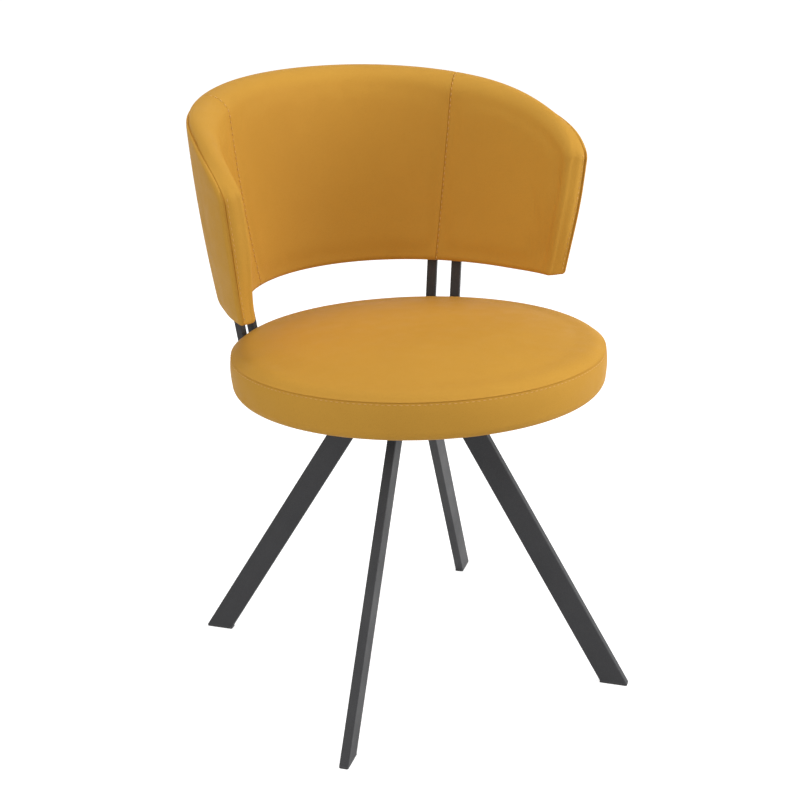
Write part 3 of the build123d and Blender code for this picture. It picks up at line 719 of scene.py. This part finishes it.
def edge_line(face):
    """The outline of a face as short straight pieces: their starts and their stops."""
    top, bottom = wing_end(wing_corner, face), wing_end(wing_foot, face)
    spread = np.sin(np.linspace(-math.pi / 2, math.pi / 2, 300))        # finer towards the ends
    lines = [[back_point(angle, edge(angle, face), 0) for angle in spread * limit]
             for edge, limit in ((top_edge, top), (bottom_edge, bottom))]
    for side in (-1, 1):
        heights = np.linspace(bottom_edge(bottom, face), top_edge(top, face), 80)
        lines.append([back_point(side * wing_end(z, face), z, 0) for z in heights])
    runs = [np.array([tuple(point) for point in line]) for line in lines]
    return np.concatenate([run[:-1] for run in runs]), np.concatenate([run[1:] for run in runs])


edge_lines = {face: edge_line(face) for face in (FRONT, OUTER)}


def edge_distance(angle, z, face):
    """Distance over the shell from a place on the sitter's side to the nearest edge."""
    starts, stops = edge_lines[face]
    place, along = np.array(tuple(back_point(angle, z, 0))), stops - starts
    share = np.clip(((place - starts) * along).sum(1) / (along**2).sum(1), 0, 1)
    return float(np.linalg.norm(starts + share[:, None] * along - place, axis=1).min())


print("pieces of the outline:", {face: len(line[0]) for face, line in edge_lines.items()})


# %% Rows and columns
def spaced(length, fine_start, fine_end, count):
    """Distances from 0 to a length: given fine ones at both ends and even steps between."""
    first, last = fine_start[-1], length - fine_end[-1]
    middle = [first + (last - first) * i / count for i in range(1, count)]
    return fine_start + middle + [length - distance for distance in reversed(fine_end)]


def turning(width):
    """Fine distances for an edge that turns over a width, and two more behind it."""
    return [width * (1 - math.cos(math.radians(t))) for t in range(0, 91, 10)] + [width + 4, width + 9]


seam_rows = [0.0, 0.25, 0.7, 1.3, 2.0, 3.2, 5.5, 9.0]
edge_rows, top_rows = turning(edge_turn), turning(edge_turn + top_roll)
face_rows = 36
column_width = 6.0
grid_values = ("to_seam", "to_border", "to_edge", "angle", "height", "depth", "rim_angle", "rim_height")
not_near = 99.0             # a distance past every fade
border_swell = 1.6          # the border of a wing's front end is a soft roll
seam_valley = 1.3           # depth of the soft valley along the outer seam
rim_tuck = 2.5              # the rims of the covers go this far in
border_shares = (0.1, 0.22, 0.35, 0.48, 0.6, 0.72, 0.82, 0.9, 0.95, 1.0)


# %% Bend a grid into a panel
def make_panel(left, right, face, sewn=()):
    """A panel of one face between two sides, left and right, that give an angle at each height.

    sewn names the sides that meet a neighbour. The others are edges of the backrest."""
    width = math.radians(right(back_middle) - left(back_middle)) * mean_radius
    ends = [seam_rows if name in sewn else edge_rows for name in ("left", "right")]
    columns = spaced(width, *ends, round(width / column_width))
    row_count = len(edge_rows) + len(top_rows) + face_rows - 1
    bm = bmesh.new()
    bmesh.ops.create_grid(bm, x_segments=len(columns) - 1, y_segments=row_count - 1, size=0.5)
    at = {name: bm.verts.layers.float.new(name) for name in grid_values}

    def place_of(along, row, layer):
        """The angle and height of a grid point on one layer of the shell."""
        z = back_middle
        for _ in range(5):      # the sides lean, so height and angle are found together
            first, last = [side(z) if name in sewn else math.copysign(wing_end(z, layer), side(z))
                           for name, side in (("left", left), ("right", right))]
            angle = first + (last - first) * along / width
            low, high = bottom_edge(angle, layer), top_edge(angle, layer)
            z = low + spaced(high - low, edge_rows, top_rows, face_rows)[row]
        return angle, z

    for vertex in bm.verts:
        column = round((vertex.co.x + 0.5) * (len(columns) - 1))
        row, along = round((vertex.co.y + 0.5) * (row_count - 1)), columns[column]
        angle, z = place_of(along, row, face)
        on_rim = row in (0, row_count - 1) or (column == 0 and "left" not in sewn)
        on_rim = on_rim or (column == len(columns) - 1 and "right" not in sewn)
        distance = 0.0 if on_rim else edge_distance(angle, z, face)
        if face == FRONT:
            depth = rounded(distance, turn_width(z), turn_depth(angle, z))
            depth += thinning(angle, z) + end_valley(angle, z)
        else:
            depth = thickness(angle) - rounded(distance, outer_round(z), outer_round(z))
        vertex.co = back_point(angle, z, depth) * mm
        vertex[at["angle"]], vertex[at["height"]], vertex[at["depth"]] = angle, z, depth
        meets = place_of(along, row, OUTER) if on_rim else (angle, z)
        vertex[at["rim_angle"]], vertex[at["rim_height"]] = meets
        vertex[at["to_edge"]] = distance
        vertex[at["to_border"]] = border_end + 1.3 * distance if face == OUTER else not_near
        from_sides = (("left", along), ("right", width - along))
        vertex[at["to_seam"]] = min([not_near] + [gap for name, gap in from_sides if name in sewn])
    add_border(bm, at)
    turn_outwards(bm, at, face)
    return bm


def add_border(bm, at):
    """Draws the open rim out to the outer seam, in steps that get finer towards it."""
    edges = [edge for edge in bm.edges if edge.is_boundary and max(v[at["to_edge"]] for v in edge.verts) == 0.0]
    for share in border_shares:
        made = bmesh.ops.extrude_edge_only(bm, edges=edges)["geom"]
        fresh = {item for item in made if isinstance(item, bmesh.types.BMVert)}
        edges = [item for item in made if isinstance(item, bmesh.types.BMEdge) and set(item.verts) <= fresh]
        for vertex in fresh:
            angle, z, depth, rim_angle, rim_height = [
                vertex[at[name]] for name in ("angle", "height", "depth", "rim_angle", "rim_height")]
            over = seam_behind(rim_height) if rim_height < z else 0.0
            back = share + (math.sin(share * math.pi / 2) ** 0.7 - share) * over
            fall = share + (1 - math.cos(share * math.pi / 2) ** 0.7 - share) * over
            last = seam_depth(rim_angle, rim_height)
            swell = border_swell * (1 - math.cos(2 * math.pi * share)) / 2 * min(abs(last - depth) / 14, 1.0)
            at_end = math.copysign(smooth_step(abs(angle), 88, 91), angle)
            vertex.co = back_point(angle + (rim_angle - angle) * share + at_end * swell / mm_per_degree,
                                   z + (rim_height - z) * fall, depth + (last - depth) * back) * mm
            vertex[at["to_border"]] = math.hypot((last - depth) * (1 - back), (rim_height - z) * (1 - fall))


def turn_outwards(bm, at, face):
    """Makes the faces of an open panel look away from the foam."""
    bmesh.ops.recalc_face_normals(bm, faces=bm.faces)
    sample = next(item for item in bm.faces if min(v[at["to_edge"]] for v in item.verts) > 30)
    middle = sample.calc_center_median()
    away = Vector((middle.x, middle.y - centre_y * mm, 0))
    if (sample.normal.dot(away) > 0) == (face == FRONT):
        bmesh.ops.reverse_faces(bm, faces=bm.faces)


def shell_normal(place):
    """The direction away from the closed shell at a place, which two covers share at their seam."""
    near = shell_places.find_n(place, 4)
    return sum((shell_normals[i] / (distance + 0.01 * mm) for _, i, distance in near), Vector()).normalized()


def sink_seams(bm):
    """Rounds the leather inwards at the seams, in a soft valley along the outer one, and tucks its rims in."""
    layers = bm.verts.layers.float
    to_seam, to_border, rim_height = layers["to_seam"], layers["to_border"], layers["rim_height"]
    facing = bm.verts.layers.float_vector.new("facing")
    bm.normal_update()
    for vertex in bm.verts:
        own = smooth_step(vertex[to_border], 1, 14)
        outward = shell_normal(vertex.co).lerp(vertex.normal, own).normalized() if own < 1 else vertex.normal
        vertex[facing] = outward
    for vertex in bm.verts:
        nearest = min(vertex[to_seam], vertex[to_border])
        valley = seam_valley * math.exp(-((vertex[to_border] / 6) ** 2))
        valley *= 1 - 0.7 * seam_behind(vertex[rim_height])
        vertex.co -= vertex[facing] * (rounded(nearest, seam_round, seam_round) + valley) * mm
    rim = [edge for edge in bm.edges if edge.is_boundary]
    for item in bmesh.ops.extrude_edge_only(bm, edges=rim)["geom"]:
        if isinstance(item, bmesh.types.BMVert):
            item.co -= item[facing] * rim_tuck * mm


# %% Sides of the panels: an angle at each height
def left_end(z):
    return -wing_end(z, FRONT)


def right_end(z):
    return wing_end(z, FRONT)


def left_seam(z):
    return seam_angle(z, -1)


def right_seam(z):
    return seam_angle(z, 1)


# %% Foam of the backrest, swollen between its seams
outer_bm = make_panel(left_end, right_end, OUTER)
foam_bm = make_panel(left_end, right_end, FRONT)
outer_half = bpy.data.meshes.new("outer_half")
outer_bm.to_mesh(outer_half)
foam_bm.from_mesh(outer_half)
bmesh.ops.remove_doubles(foam_bm, verts=foam_bm.verts, dist=0.05 * mm)
print("open edges of the foam:", sum(edge.is_boundary for edge in foam_bm.edges))
foam_bm.normal_update()
shell_normals = [vertex.normal.copy() for vertex in foam_bm.verts]
shell_places = KDTree(len(shell_normals))
for i, vertex in enumerate(foam_bm.verts):
    shell_places.insert(vertex.co, i)
shell_places.balance()
back_form = make_object("back_form", foam_bm)


def back_held(place):
    """The leaning seams, the border and the outer side stay where they are."""
    angle = math.degrees(math.atan2(place.x, place.y - centre_y))
    depth = math.hypot(place.x, place.y - centre_y) - inside_radius(angle, place.z)
    off_seam = abs(abs(angle) - seam_angle(place.z, 1)) * mm_per_degree
    return max(1 - smooth_step(off_seam, 3, 12), smooth_step(depth, 2.5, 6))


inflate(back_form, back_held, most=2.2)


# %% Lay the panels on the foam
def cover_back(name, bm, stands_for):
    """Turns a panel's bmesh into a finished leather cover."""
    to_seam, to_edge = [[vertex[bm.verts.layers.float[layer]] for vertex in bm.verts]
                        for layer in ("to_seam", "to_edge")]
    piece = make_object(name, bm)
    lay_on(piece, back_form, lambda vertex: smooth_step(to_seam[vertex.index], 3, 20)
           * smooth_step(to_edge[vertex.index], 8, 34))
    bm = bmesh.new()
    bm.from_mesh(piece.data)
    sink_seams(bm)
    bm.to_mesh(piece.data)
    bm.free()
    give_thickness(piece)
    finish_piece(piece, leather, stands_for=stands_for)
    return piece


centre_bm = make_panel(left_seam, right_seam, FRONT, ("left", "right"))
centre = cover_back("back_centre_leather", centre_bm, ["back_centre_pad"])
right_bm = make_panel(right_seam, right_end, FRONT, ("left",))
right_wing = cover_back("back_right_leather", right_bm, ["back_right_wing"])
left_bm = make_panel(left_end, left_seam, FRONT, ("right",))
left_wing = cover_back("back_left_leather", left_bm, ["back_left_wing"])
outer_cover = cover_back("back_outer_leather", outer_bm, ["back_outer_panel"])
bpy.data.objects.remove(back_form)
for piece in (centre, right_wing, left_wing, outer_cover):
    print(piece.name, "faces:", len(piece.data.polygons))

# %% [markdown]
# ## Stitches
# Seams are held by a lockstitch: short pieces of thread in a row, each dipping into the
# leather at both ends. One stitch is a small stretched ball with few faces, because there are
# hundreds of them. They are set along a line of points that is first laid on the leather.


# %% Sew along a line
def walk(points, pitch):
    """Places at even distances along a line of points, with the direction there."""
    steps, left = [], pitch / 2
    for start, stop in zip(points, points[1:]):
        run = (stop - start).length
        while left < run:
            steps.append((start.lerp(stop, left / run), (stop - start).normalized()))
            left += pitch
        left -= run
    return steps


def on_surface(points, cover, lift):
    """The points moved to a cover's surface and lifted off it, all in millimetres. Gives places and normals."""
    laid = []
    for point in points:
        _, place, normal, _ = cover.closest_point_on_mesh(point * mm)
        laid.append((place / mm + normal * lift, normal))
    return laid


def sew(name, lines, length=4.6, gap=2.4, width=0.9):
    """One object with the stitches of several lines. A line is a list of (place, normal)."""
    bm = bmesh.new()
    for line in lines:
        places = [place for place, _ in line]
        for spot, direction in walk(places, length + gap):
            normal = min(line, key=lambda item: (item[0] - spot).length_squared)[1]
            side = direction.cross(normal).normalized()
            up = side.cross(direction)
            turn = Matrix((direction, side, up)).transposed().to_4x4()
            shape = Matrix.Diagonal((length / 2, width / 2, width / 2, 1.0))
            matrix = Matrix.Translation(spot * mm) @ turn @ shape @ Matrix.Scale(mm, 4)
            bmesh.ops.create_uvsphere(bm, u_segments=6, v_segments=4, radius=1.0, matrix=matrix)
    bm.normal_update()
    piece = make_object(name, bm)
    finish_piece(piece, thread, smooth_angle=80)
    print(name, "faces:", len(piece.data.polygons))


# %% Inner seams of the backrest
inner_lines = []
for side, cover in ((-1, left_wing), (1, right_wing)):
    line = []
    for z in np.linspace(bottom_edge(38, FRONT) + 2, top_edge(40, FRONT) - 1.0, 150):
        angle = seam_angle(z, side) + side * 0.3
        depth = rounded(edge_distance(angle, z, FRONT), turn_width(z), turn_depth(angle, z))
        line.append(back_point(angle, z, depth))
    inner_lines.append(on_surface(line, cover, 0.45))
sew("back_inner_stitches", inner_lines, length=5.0, gap=2.8, width=1.5)

# %% Outer seam of the backrest
outer_lines = []
for side, cover in ((-1, left_wing), (1, right_wing)):
    line = []
    for z in np.linspace(bottom_edge(90, OUTER) + 4, top_edge(91, OUTER) - 4, 60):
        line.append(back_point(side * wing_end(z, OUTER), z, seam_depth(91, z) - 3.0))
    outer_lines.append(on_surface(line, cover, 0.2))
sew("back_outer_stitches", outer_lines)

# %% [markdown]
# ## Seat seam and underside
# The seat's top cover and side band are joined by a row of stitches in the fold of the seam.
# Underneath, a dark cloth closes the seat inside the leather hem. It is held by staples and
# hangs a little slack between them.

# %% Stitches round the seat
below_seam = 2.2
ring = [Vector((seat_radius * math.cos(t), seat_radius * math.sin(t), -below_seam))
        for t in np.linspace(0, 2 * math.pi, 361)]
seat_line = [seat_place @ (point * mm) / mm for point in ring]
sew("seat_stitches", [on_surface(seat_line, seat_band, 0.15)])

# %% Dust cloth
cloth_radius, cloth_level = 199.0, -47.6
staple_count, staple_ring = 40, 193.0
cloth_rings = (0, 40, 80, 120, 150, 170, 180, 186, 190, 194, 197, cloth_radius)
cloth_bm = spun([(radius, cloth_level) for radius in cloth_rings], staple_count * 6)
for vertex in cloth_bm.verts:
    around = math.atan2(vertex.co.y, vertex.co.x)
    radius = math.hypot(vertex.co.x, vertex.co.y) / mm
    slack = smooth_step(radius, 150, staple_ring) * (0.5 - 0.5 * math.cos(staple_count * around))
    vertex.co.z += (0.35 - 0.55 * slack) * mm
cloth = make_object("seat_dust_cloth", cloth_bm)
give_thickness(cloth, 0.5)

# %% Staples: a crown of 10 mm on two short legs
crown, leg = (0.8, 10.0, 0.6), (0.8, 0.6, 2.6)
wires = [((0, 0, 0), crown), ((0, -4.7, 1.2), leg), ((0, 4.7, 1.2), leg)]
staples_bm = bmesh.new()
for i in range(staple_count):
    turn = Matrix.Rotation(2 * math.pi * i / staple_count, 4, "Z") @ Matrix.Scale(mm, 4)
    stand = turn @ Matrix.Translation((staple_ring, 0, cloth_level - 0.35))
    for place, size in wires:
        wire = stand @ Matrix.Translation(place) @ Matrix.Diagonal((*size, 1))
        bmesh.ops.create_cube(staples_bm, size=1.0, matrix=wire)
staples = make_object("seat_staples", staples_bm)
for piece in (cloth, staples):
    piece.data.transform(seat_place)
finish_piece(cloth, dust_cloth, stands_for=["seat_dust_cover"])
finish_piece(staples, zinc_steel)
print("staples:", staple_count)

# %% [markdown]
# ## Collars and weld beads
# Each upright enters the backrest through a soft black collar, and each leg is welded to the
# base plate. Both are made from the bar itself: a short piece is cut out of it, grown sideways
# and given round edges, so it fits whatever way the bar leans.


# %% Sleeve helper
def add_sleeve(bm, bar, low, low_growth, high, high_growth):
    """Adds a closed sleeve round a bar, between two heights and with a growth at each, in millimetres."""
    stub = bmesh.new()
    stub.from_mesh(bar.data)
    stub.transform(bar.matrix_world)
    for level, away in ((low, -1), (high, 1)):
        bmesh.ops.bisect_plane(stub, geom=stub.verts[:] + stub.edges[:] + stub.faces[:], dist=0.001 * mm,
                               plane_co=(0, 0, level * mm), plane_no=(0, 0, away), clear_outer=True)
    stub.normal_update()
    middle = sum((vertex.co for vertex in stub.verts), Vector()) / len(stub.verts)
    bore = [vertex for vertex in stub.verts if vertex.normal.dot(vertex.co - middle) < 0]
    bmesh.ops.delete(stub, geom=bore, context="VERTS")
    for vertex in stub.verts:
        growth = low_growth if vertex.co.z < middle.z else high_growth
        vertex.co += Vector((vertex.normal.x, vertex.normal.y, 0)).normalized() * growth * mm
    bmesh.ops.holes_fill(stub, edges=[edge for edge in stub.edges if edge.is_boundary])
    bmesh.ops.recalc_face_normals(stub, faces=stub.faces)
    rims = [edge for edge in stub.edges if edge.calc_face_angle(0) > math.radians(50)]
    bmesh.ops.bevel(stub, geom=rims, offset=0.5 * mm, segments=2, affect="EDGES", clamp_overlap=True)
    made = bpy.data.meshes.new("sleeve")
    stub.to_mesh(made)
    stub.free()
    bm.from_mesh(made)
    bpy.data.meshes.remove(made)


# %% Collars where the uprights enter the backrest, and beads where the legs meet the base plate
collars_bm, beads_bm = bmesh.new(), bmesh.new()
for name, node in nodes.items():
    if name.startswith("upright_"):
        add_sleeve(collars_bm, node, low=499.0, low_growth=1.8, high=505.0, high_growth=2.4)
    if name.startswith("leg_"):
        add_sleeve(beads_bm, node, low=353.2, low_growth=0.3, high=355.9, high_growth=2.6)
print("collars and beads, corners:", len(collars_bm.verts), len(beads_bm.verts))
finish_piece(make_object("upright_collars", collars_bm), black_plastic)
finish_piece(make_object("leg_weld_beads", beads_bm), powder_coat, body="base")
print("sleeves ready")
